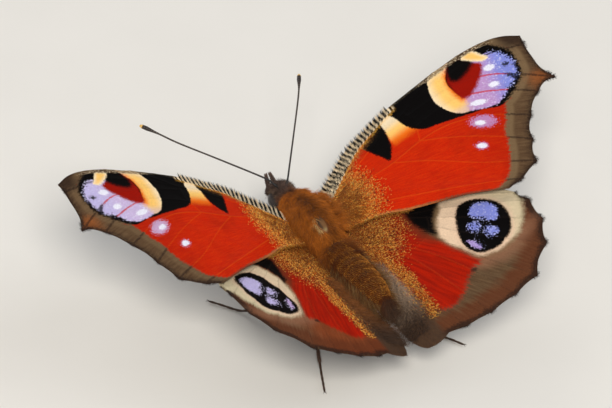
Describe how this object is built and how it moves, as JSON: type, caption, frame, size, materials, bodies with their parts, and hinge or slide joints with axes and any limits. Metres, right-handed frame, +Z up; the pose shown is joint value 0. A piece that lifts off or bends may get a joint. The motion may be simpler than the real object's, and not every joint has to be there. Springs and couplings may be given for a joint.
{
  "type": "peacock butterfly, still life-size model",
  "caption": "Life-size still model of a perched peacock butterfly with spread wings, furry body, clubbed feelers and splayed legs.",
  "frame": {"origin": "on the floor, under the middle of the whole insect from side to side and from front to back", "axes": "+Z up from the floor, head towards -Y, the butterfly's own left towards +X"},
  "size_m": [0.0628, 0.0436, 0.0209],
  "materials": {
    "body_fur": "long silky orange-brown fur, darker and bristly on the abdomen",
    "head_fur": "short dark brown fur and scales",
    "eye": "dark glossy facets",
    "feeler": "fine dark scales with pale rings, pale tip",
    "proboscis": "dark horn",
    "forewing": "powdery scales, rust red with cream, black and lilac eyespots, bark-dark underside",
    "hindwing": "powdery scales, rust red and brown with a blue eyespot, bark-dark underside",
    "leg": "dark brown scales and short hairs"
  },
  "bodies": {
    "root": {"thorax": "body_fur", "abdomen": "body_fur", "head": "head_fur", "eye_left": "eye", "eye_right": "eye", "antenna_left": "feeler", "antenna_right": "feeler", "palp_left": "head_fur", "palp_right": "head_fur", "proboscis": "proboscis", "forewing_left": "forewing", "forewing_right": "forewing", "hindwing_left": "hindwing", "hindwing_right": "hindwing", "foreleg_left": "leg", "foreleg_right": "leg", "midleg_left_femur": "leg", "midleg_left_tibia": "leg", "midleg_left_tarsus": "leg", "midleg_right_femur": "leg", "midleg_right_tibia": "leg", "midleg_right_tarsus": "leg", "hindleg_left_femur": "leg", "hindleg_left_tibia": "leg", "hindleg_left_tarsus": "leg", "hindleg_right_femur": "leg", "hindleg_right_tibia": "leg", "hindleg_right_tarsus": "leg"}
  },
  "joints": []
}
